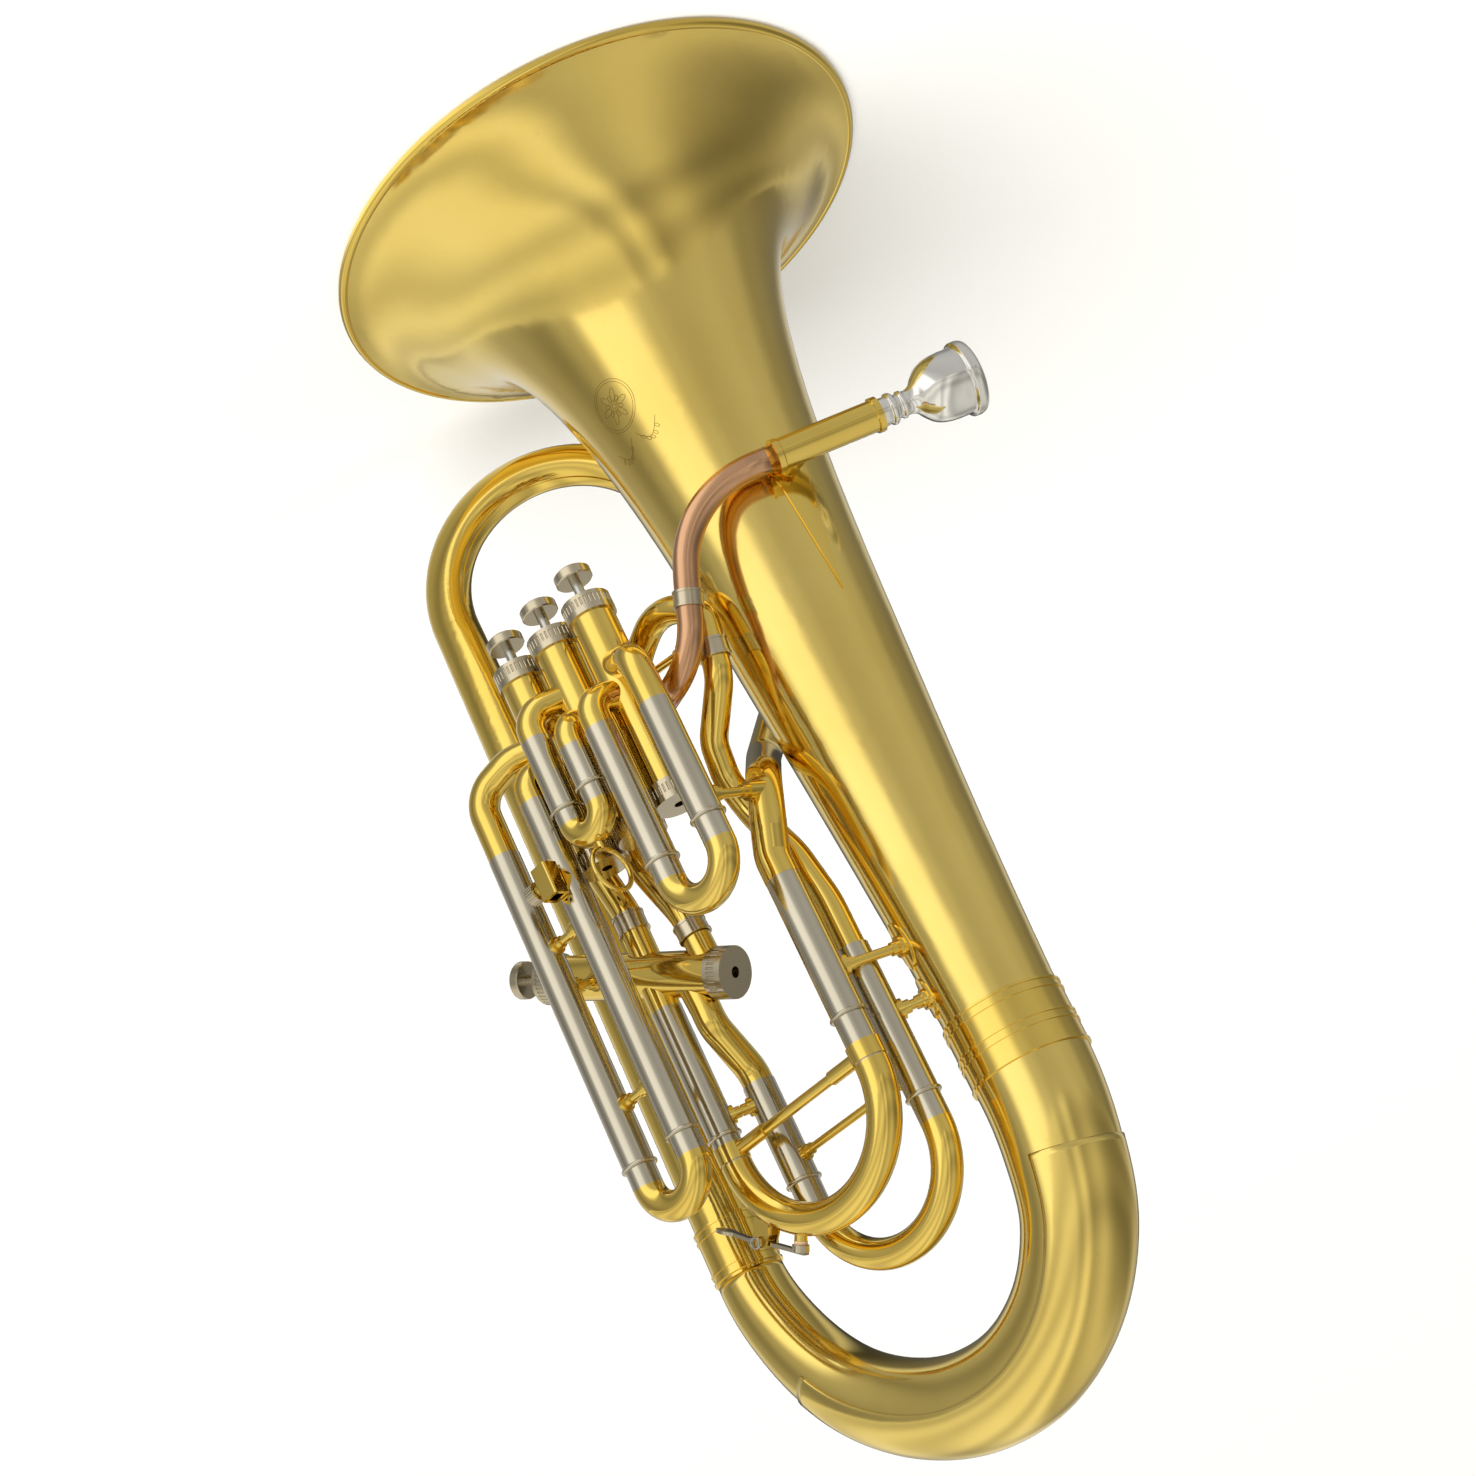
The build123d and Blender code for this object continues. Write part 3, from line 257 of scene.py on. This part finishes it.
CORK = cork("cork")

FINISH = {
    "bell": BELL_BRASS, "bottom_bow": BELL_BRASS, "bow_guard": BELL_BRASS, "leadpipe": ROSE_BRASS,
    "mouthpiece": SILVER, "cap_felts": FELT, "water_key_cork": CORK, "water_key_spring": STEEL,
    "water_key_lever": CAP_NICKEL, "valve_top_caps": CAP_NICKEL, "valve_bottom_caps": CAP_NICKEL,
    "joint_ferrules": CAP_NICKEL, "lyre_screw": CAP_NICKEL,
}
for order in ("first", "second", "third", "fourth", "main"):
    FINISH[f"{order}_slide_outer_tubes"] = NICKEL
    FINISH[f"{order}_slide_legs"] = NICKEL
for number in range(1, 5):
    FINISH[f"finger_button_{number}"] = CAP_NICKEL
    FINISH[f"piston_{number}"] = PISTON_METAL
    FINISH[f"valve_spring_{number}"] = STEEL

for name, obj in NODES.items():
    finish = FINISH.get(name, BRASS)
    if obj.material_slots:
        for entry in obj.material_slots:
            entry.material = finish
    else:
        obj.data.materials.append(finish)


# Ornament and smoother pieces ---------------------------------------------------------------------
def surface_tree(name):
    """Search tree of a CAD node's surface."""
    mesh = NODES[name].data
    return BVHTree.FromPolygons([v.co for v in mesh.vertices], [p.vertices for p in mesh.polygons])


def engraved_line(curve, points, closed):
    """Add one smooth line to a curve."""
    spline = curve.splines.new("POLY")
    spline.points.add(len(points) - 1)
    for entry, place in zip(spline.points, points):
        entry.co = (*place, 1.0)
    spline.use_cyclic_u = closed


def ornament():
    """Rosette in a double ring with a leaf spray below, engraved on the bell."""
    tree = surface_tree("bell")

    def on_bell(across, along):
        """Point on the bell's outside, from distances across and along the sheet."""
        angle = ORNAMENT_ANGLE + across / BELL_RADIUS_THERE
        outward = Vector((math.cos(angle), math.sin(angle), 0.0))
        start = outward * WELL_OUTSIDE + Vector((0.0, 0.0, ORNAMENT_HEIGHT + along))
        return tree.ray_cast(start, -outward)[0]

    def on_stem(side, share):
        """Distances across and along the sheet at a share of one side's stem."""
        return side * (0.002 + STEM_REACH * share), STEM_RISE + STEM_ARCH * math.sin(share * math.pi)

    curve = bpy.data.curves.new("bell_ornament", "CURVE")
    curve.dimensions = "3D"
    curve.bevel_depth = ENGRAVED_WIDTH
    curve.bevel_resolution = 2
    turns = [2 * math.pi * step / RING_STEPS for step in range(RING_STEPS)]
    outlines = [lambda t: ORNAMENT_RADIUS, lambda t: ORNAMENT_RADIUS * 0.9,
                lambda t: ORNAMENT_RADIUS * (0.42 + 0.26 * math.cos(6 * t)),
                lambda t: ORNAMENT_RADIUS * (0.30 + 0.14 * math.cos(6 * t + math.pi)),
                lambda t: ORNAMENT_RADIUS * 0.1]
    for outline in outlines:
        ring = [on_bell(outline(t) * math.cos(t), outline(t) * math.sin(t)) for t in turns]
        engraved_line(curve, ring, True)
    for side in (-1, 1):
        stem = [on_bell(*on_stem(side, step / (LINE_STEPS - 1))) for step in range(LINE_STEPS)]
        engraved_line(curve, stem, False)
        for leaf in range(1, LEAVES + 1):
            foot = on_stem(side, leaf / (LEAVES + 1))
            blade = []
            for step in range(LEAF_STEPS):
                turn = 2 * math.pi * step / LEAF_STEPS
                reach = LEAF_LENGTH * (1 - math.cos(turn)) / 2
                swing = LEAF_HALF_WIDTH * math.sin(turn)
                blade.append(on_bell(foot[0] + side * reach * 0.6 + swing, foot[1] + reach))
            engraved_line(curve, blade, True)
    piece = bpy.data.objects.new("bell_ornament", curve)
    piece.data.materials.append(ENGRAVING)
    bpy.context.scene.collection.objects.link(piece)
    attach(piece, "horn")


def solid_mesh(name, rings, finish, closed):
    """Smooth mesh skinned over rings of points; the ends meet when closed, and are capped otherwise."""
    count = len(rings[0])
    faces = []
    for step in range(len(rings) if closed else len(rings) - 1):
        ahead = (step + 1) % len(rings)
        for turn in range(count):
            after = (turn + 1) % count
            here, there = step * count, ahead * count
            faces.append((here + turn, here + after, there + after, there + turn))
    caps = []
    if not closed:
        last = (len(rings) - 1) * count
        caps = [tuple(reversed(range(count))), tuple(range(last, last + count))]
    mesh = bpy.data.meshes.new(name)
    mesh.from_pydata([point for ring in rings for point in ring], [], faces + caps)
    mesh.shade_smooth()
    for index in range(len(caps)):
        mesh.polygons[len(faces) + index].use_smooth = False
    mesh.materials.append(finish)
    made = bpy.data.objects.new(name, mesh)
    bpy.context.scene.collection.objects.link(made)
    return made


def ring_round(centre, first, second, radius):
    """Points of a circle in the plane of two unit directions."""
    turns = [2 * math.pi * step / ROUND_STEPS for step in range(ROUND_STEPS)]
    return [centre + (first * math.cos(turn) + second * math.sin(turn)) * radius for turn in turns]


def turned_mouthpiece():
    """Cup mouthpiece turned with a beaded shank, a round bowl and a broad rim."""
    axis = MOUTHPIPE_AXIS.normalized()
    mouth = MOUTHPIPE_END + axis * RECEIVER_LENGTH
    first = axis.cross(Vector((0, 0, 1))).normalized()
    second = axis.cross(first)
    outline = []
    for before, start, end, after in corners_of(CUP_OUTLINE):
        if abs(end[1] - start[1]) + abs(end[0] - start[0]) < SHARP_STEP:
            outline.append(start)
        else:
            shares = [step / OUTLINE_STEPS for step in range(OUTLINE_STEPS)]
            outline += [smooth_point(before, start, end, after, share) for share in shares]
    rings = [ring_round(mouth + axis * along / MM, first, second, radius / MM) for radius, along in outline]
    made = solid_mesh("mouthpiece_turned", rings, SILVER, True)
    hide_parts("mouthpiece")
    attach(made, "mouthpiece")


def corners_of(points):
    """Each stretch of a closed outline, with the point before it and the point after it."""
    around = points[-1:] + points + points[:2]
    return list(zip(around, around[1:], around[2:], around[3:]))


def smooth_point(before, start, end, after, share):
    """Point at a share of the stretch from start to end of a curve through all four."""
    values = []
    for a, b, c, d in zip(before, start, end, after):
        square = 2 * a - 5 * b + 4 * c - d
        cube = 3 * (b - c) + d - a
        values.append(b + 0.5 * share * (c - a + share * (square + share * cube)))
    return tuple(values)


def rounded_path(points, radii):
    """Points of a line whose corners are rounded to the radii."""
    path = [points[0]]
    for before, corner, after, radius in zip(points, points[1:], points[2:], radii):
        into, out = (corner - before).normalized(), (after - corner).normalized()
        half = into.angle(out) / 2
        reach = radius * math.tan(half)
        centre = corner + (out - into).normalized() * radius / math.cos(half)
        start = corner - into * reach - centre
        turn = into.cross(out).normalized()
        for step in range(BEND_STEPS + 1):
            path.append(centre + Matrix.Rotation(half * 2 * step / BEND_STEPS, 3, turn) @ start)
    return path + [points[-1]]


def bent_leadpipe():
    """Leadpipe in one long easy bend from the receiver to the first valve."""
    corners = [Vector(point) / MM for point in LEADPIPE_LINE]
    path = rounded_path(corners, [radius / MM for radius in LEADPIPE_BENDS])
    rings = []
    side = None
    for before, place, after in zip([path[0]] + path, path, path[1:] + [path[-1]]):
        along = (after - before).normalized()
        side = along.orthogonal() if side is None else side - along * side.dot(along)
        side.normalize()
        rings.append(ring_round(place, side, along.cross(side), LEADPIPE_RADIUS))
    made = solid_mesh("leadpipe_bent", rings, ROSE_BRASS, False)
    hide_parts("leadpipe")
    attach(made, "horn")


def bow_places():
    """Centre, outward direction and outer radius at even steps along the bottom bow."""
    centres, radii = [], []
    for index, (radius, next_radius) in enumerate(zip(BOW_RADII, BOW_RADII[1:])):
        for step in range(BOW_STEPS):
            share = step / BOW_STEPS
            x, z = smooth_point(*BOW_LINE[index:index + 4], share)
            centres.append(Vector((x, 0, z)) / MM)
            radii.append((radius + (next_radius - radius) * share) / MM)
    x, z = BOW_LINE[-2]
    centres.append(Vector((x, 0, z)) / MM)
    radii.append(BOW_RADII[-1] / MM)
    below = Vector((0, 0, 0.001))
    befores = [centres[0] - below] + centres
    afters = centres[1:] + [centres[-1] - below]
    sides = [(after - before).normalized().cross(ACROSS) for before, after in zip(befores, afters)]
    return list(zip(centres, sides, radii))


def smooth_bow():
    """Bottom bow as one smooth taper, and the guard on its outside."""
    places = bow_places()
    stem = [(Vector((0, 0, STEM_TOP)), *places[0][1:])]
    rings = [ring_round(centre, ACROSS, side, radius) for centre, side, radius in stem + places]
    bow = solid_mesh("bottom_bow_smooth", rings, BELL_BRASS, False)
    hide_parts("bottom_bow")
    sweep = [math.pi * (step / GUARD_STEPS - 0.5) for step in range(GUARD_STEPS + 1)]
    shells = []
    for centre, side, radius in places[GUARD_FIRST:GUARD_LAST]:
        edges = []
        for reach, turns in ((radius + GUARD_WALL, sweep), (radius - GUARD_WALL / 3, sweep[::-1])):
            edges += [centre + (side * math.cos(turn) + ACROSS * math.sin(turn)) * reach for turn in turns]
        shells.append(edges)
    guard = solid_mesh("bow_guard_smooth", shells, BELL_BRASS, False)
    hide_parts("bow_guard")
    for piece in (bow, guard):
        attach(piece, "horn")


ornament()
smooth_bow()
turned_mouthpiece()
bent_leadpipe()


# Floor, light and camera --------------------------------------------------------------------------
def floor():
    """Large pale floor, which the metal reflects as a ring of light and dark sectors, like studio cards."""
    paper = Shader("floor_paper")
    grain = paper.noise(300.0, 4.0, 0.6)
    paper.link(paper.mix(grain, (0.90, 0.90, 0.89), (0.93, 0.93, 0.92)), paper.shader.inputs["Base Color"])
    paper.shader.inputs["Roughness"].default_value = 0.9
    split = paper.node("ShaderNodeSeparateXYZ")
    paper.link(paper.place, split.inputs["Vector"])
    bearing = paper.node("ShaderNodeMath", operation="ARCTAN2")
    paper.link(split.outputs["Y"], bearing.inputs[0])
    paper.link(split.outputs["X"], bearing.inputs[1])
    ramp = paper.node("ShaderNodeValToRGB")
    banded(ramp.color_ramp, CARD_BANDS)
    paper.link(paper.between(bearing.outputs[0], -math.pi, math.pi, 0.0, 1.0), ramp.inputs["Fac"])
    cards = paper.node("ShaderNodeEmission")
    cards.inputs["Strength"].default_value = CARD_STRENGTH
    paper.link(ramp.outputs["Color"], cards.inputs["Color"])
    path = paper.node("ShaderNodeLightPath")
    either = paper.node("ShaderNodeMixShader")
    paper.link(path.outputs["Is Glossy Ray"], either.inputs[0])
    paper.link(paper.shader.outputs[0], either.inputs[1])
    paper.link(cards.outputs[0], either.inputs[2])
    paper.link(either.outputs[0], paper.tree.nodes["Material Output"].inputs["Surface"])
    mesh = bpy.data.meshes.new("floor")
    corners = [(x * FLOOR_HALF, y * FLOOR_HALF, 0) for x, y in ((-1, -1), (1, -1), (1, 1), (-1, 1))]
    mesh.from_pydata(corners, [], [(0, 1, 2, 3)])
    plane = bpy.data.objects.new("floor", mesh)
    bpy.context.scene.collection.objects.link(plane)
    mesh.materials.append(paper.material)


def banded(ramp, bands):
    """Fill a colour ramp with slightly warm greys from (place, grey) pairs."""
    ramp.interpolation = "EASE"
    elements = ramp.elements
    elements[0].position, elements[1].position = bands[0][0], bands[-1][0]
    for place, grey in bands[1:-1]:
        elements.new(place)
    for element, (place, grey) in zip(elements, bands):
        element.color = (*(grey * share for share in WARMTH), 1)


def camera_axes():
    """Right, up and backward directions of the camera."""
    back = Vector((math.sin(CAMERA_AZIMUTH) * math.cos(CAMERA_ELEVATION),
                   -math.cos(CAMERA_AZIMUTH) * math.cos(CAMERA_ELEVATION), math.sin(CAMERA_ELEVATION)))
    level = (-back).cross(Vector((0, 0, 1))).normalized()
    upright = level.cross(-back)
    right = level * math.cos(CAMERA_ROLL) + upright * math.sin(CAMERA_ROLL)
    up = upright * math.cos(CAMERA_ROLL) - level * math.sin(CAMERA_ROLL)
    return right, up, back


def camera():
    """Camera at the photograph's viewing angle."""
    right, up, back = camera_axes()
    lens = bpy.data.cameras.new("camera")
    lens.lens = CAMERA_LENS
    lens.sensor_width = SENSOR_WIDTH
    lens.clip_end = 100.0
    made = bpy.data.objects.new("camera", lens)
    made.matrix_world = Matrix.Translation(CAMERA_PLACE) @ Matrix((right, up, back)).transposed().to_4x4()
    bpy.context.scene.collection.objects.link(made)
    bpy.context.scene.camera = made


def aimed(light, place, toward):
    """Put a light at a place with its face toward a direction, and keep it out of the metal's reflections."""
    made = bpy.data.objects.new(light.name, light)
    made.location = place
    made.rotation_euler = toward.to_track_quat("-Z", "Y").to_euler()
    made.visible_glossy = False
    bpy.context.scene.collection.objects.link(made)


def softbox(name, place, size, power):
    """Rectangular area light aimed at the middle of the object."""
    light = bpy.data.lights.new(name, "AREA")
    light.shape = "RECTANGLE"
    light.size, light.size_y = size
    light.energy = power
    aimed(light, place, MIDDLE - place)


def studio():
    """Soft light: a box on each side of the camera and a wide soft sun overhead."""
    right, _, back = camera_axes()
    softbox("key", MIDDLE - right * 1.9 + back * 1.5 + Vector((0, 0, 0.55)), KEY_SIZE, KEY_POWER)
    softbox("fill", MIDDLE + right * 1.9 + back * 0.5 + Vector((0, 0, 0.8)), FILL_SIZE, FILL_POWER)
    window = bpy.data.lights.new("window", "SUN")
    window.energy = SUN_STRENGTH
    window.angle = SUN_WIDTH
    aimed(window, Vector((0, 0, 0)), right * 0.75 - back * 0.55 - Vector((0, 0, 1.25)))


def room():
    """World of warm greys that changes with height and from the picture's left to its right."""
    world = bpy.data.worlds.new("studio")
    world.use_nodes = True
    bpy.context.scene.world = world
    tree = world.node_tree
    backdrop = tree.nodes["Background"]
    coordinate = tree.nodes.new("ShaderNodeTexCoord")
    split = tree.nodes.new("ShaderNodeSeparateXYZ")
    tree.links.new(coordinate.outputs["Generated"], split.inputs["Vector"])
    ramp = tree.nodes.new("ShaderNodeValToRGB")
    banded(ramp.color_ramp, ROOM_BANDS)
    tree.links.new(split.outputs["Z"], ramp.inputs["Fac"])
    across = tree.nodes.new("ShaderNodeVectorMath")
    across.operation = "DOT_PRODUCT"
    tree.links.new(coordinate.outputs["Generated"], across.inputs[0])
    across.inputs[1].default_value = camera_axes()[0]
    halved = tree.nodes.new("ShaderNodeMapRange")
    halved.inputs["From Min"].default_value = -1.0
    tree.links.new(across.outputs["Value"], halved.inputs["Value"])
    side = tree.nodes.new("ShaderNodeValToRGB")
    banded(side.color_ramp, SIDE_BANDS)
    tree.links.new(halved.outputs["Result"], side.inputs["Fac"])
    both = tree.nodes.new("ShaderNodeMix")
    both.data_type = "RGBA"
    both.blend_type = "MULTIPLY"
    both.inputs[0].default_value = 1.0
    tree.links.new(ramp.outputs["Color"], both.inputs[6])
    tree.links.new(side.outputs["Color"], both.inputs[7])
    tree.links.new(both.outputs[2], backdrop.inputs["Color"])
    backdrop.inputs["Strength"].default_value = ROOM_STRENGTH


floor()
studio()
room()
camera()
bpy.context.scene.view_settings.view_transform = "Standard"
